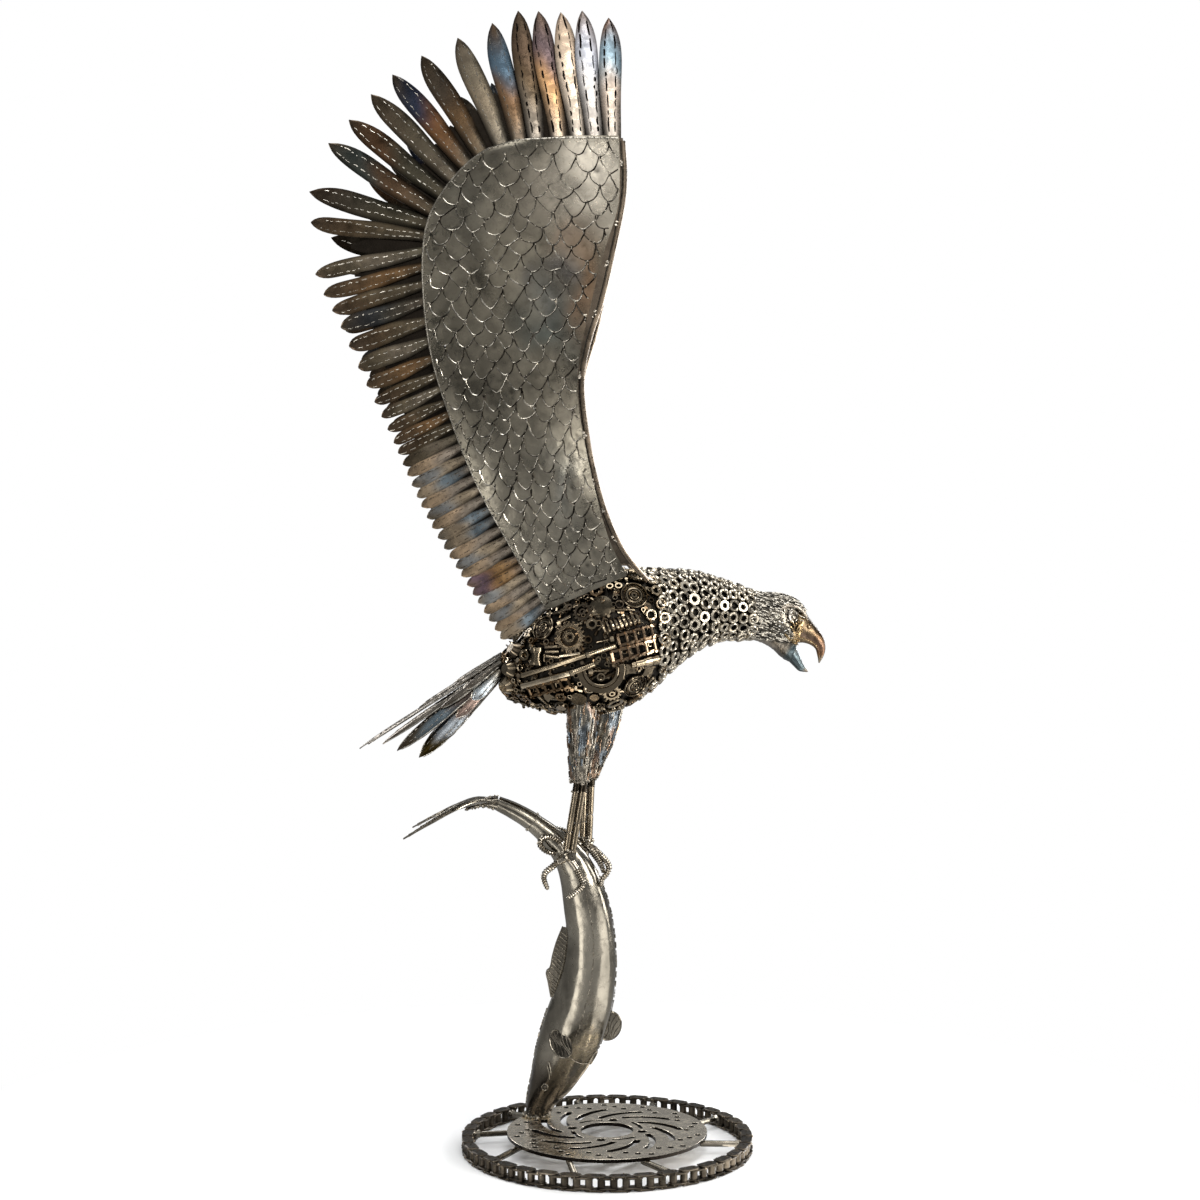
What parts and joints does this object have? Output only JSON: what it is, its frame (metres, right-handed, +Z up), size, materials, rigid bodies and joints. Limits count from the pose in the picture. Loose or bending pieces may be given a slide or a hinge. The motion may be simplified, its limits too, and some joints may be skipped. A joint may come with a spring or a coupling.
{
  "type": "scrap metal eagle sculpture",
  "caption": "Welded scrap metal eagle with raised wings, standing on a fish that is fixed head down on a slotted disc inside a ring of roller chain.",
  "frame": {"origin": "middle of the object's footprint box, on the floor under the chain ring", "axes": "+X the way the eagle looks, +Y to its left, +Z up"},
  "size_m": [0.5602, 0.3192, 1.2179],
  "materials": {
    "chain": "dull, oily",
    "disc": "satin, lightly worn",
    "bolts": "dull",
    "fish": "polished, faint brushing",
    "fish_fins": "satin, with weld rays",
    "thighs": "weld streaks, heat tinted",
    "shanks": "polished, straw tint",
    "feet": "threaded rod, dull",
    "body_scrap": "dark oiled steel, edges bright",
    "head": "weld dabs, heat tinted",
    "upper_beak": "straw and copper heat tint on steel",
    "lower_beak": "blue-grey heat tint on steel",
    "tail": "blue and straw heat tint",
    "wing_blades": "beaten sheet, brown and blue heat tint",
    "wing_rods": "dull, weld spots",
    "wing_feathers": "brown, purple and blue heat tint"
  },
  "bodies": {
    "root": {"base_chain_ring": "chain", "brake_disc": "disc", "base_spoke_1": "bolts", "base_spoke_2": "bolts", "base_spoke_3": "bolts", "base_spoke_4": "bolts", "base_spoke_5": "bolts", "base_spoke_6": "bolts", "base_spoke_7": "bolts", "base_spoke_8": "bolts", "base_spoke_9": "bolts", "fish_body": "fish", "fish_tail_fin": "fish_fins", "fish_dorsal_fin": "fish_fins", "fish_pectoral_fin_right": "fish_fins", "fish_pectoral_fin_left": "fish_fins", "thigh_right": "thighs", "shank_right": "shanks", "foot_right": "feet", "thigh_left": "thighs", "shank_left": "shanks", "foot_left": "feet", "eagle_body": "body_scrap", "eagle_head": "head", "upper_beak": "upper_beak", "lower_beak": "lower_beak", "tail_feathers": "tail", "tail_coverts": "tail", "wing_blade_right": "wing_blades", "leading_edge_rod_right": "wing_rods", "trailing_feathers_right": "wing_feathers", "primary_feather_1_right": "wing_feathers", "primary_feather_2_right": "wing_feathers", "primary_feather_3_right": "wing_feathers", "primary_feather_4_right": "wing_feathers", "primary_feather_5_right": "wing_feathers", "primary_feather_6_right": "wing_feathers", "primary_feather_7_right": "wing_feathers", "primary_feather_8_right": "wing_feathers", "primary_feather_9_right": "wing_feathers", "primary_feather_10_right": "wing_feathers", "primary_feather_11_right": "wing_feathers", "primary_feather_12_right": "wing_feathers", "primary_feather_13_right": "wing_feathers", "wing_blade_left": "wing_blades", "leading_edge_rod_left": "wing_rods", "trailing_feathers_left": "wing_feathers", "primary_feather_1_left": "wing_feathers", "primary_feather_2_left": "wing_feathers", "primary_feather_3_left": "wing_feathers", "primary_feather_4_left": "wing_feathers", "primary_feather_5_left": "wing_feathers", "primary_feather_6_left": "wing_feathers", "primary_feather_7_left": "wing_feathers", "primary_feather_8_left": "wing_feathers", "primary_feather_9_left": "wing_feathers", "primary_feather_10_left": "wing_feathers", "primary_feather_11_left": "wing_feathers", "primary_feather_12_left": "wing_feathers", "primary_feather_13_left": "wing_feathers"}
  },
  "joints": []
}
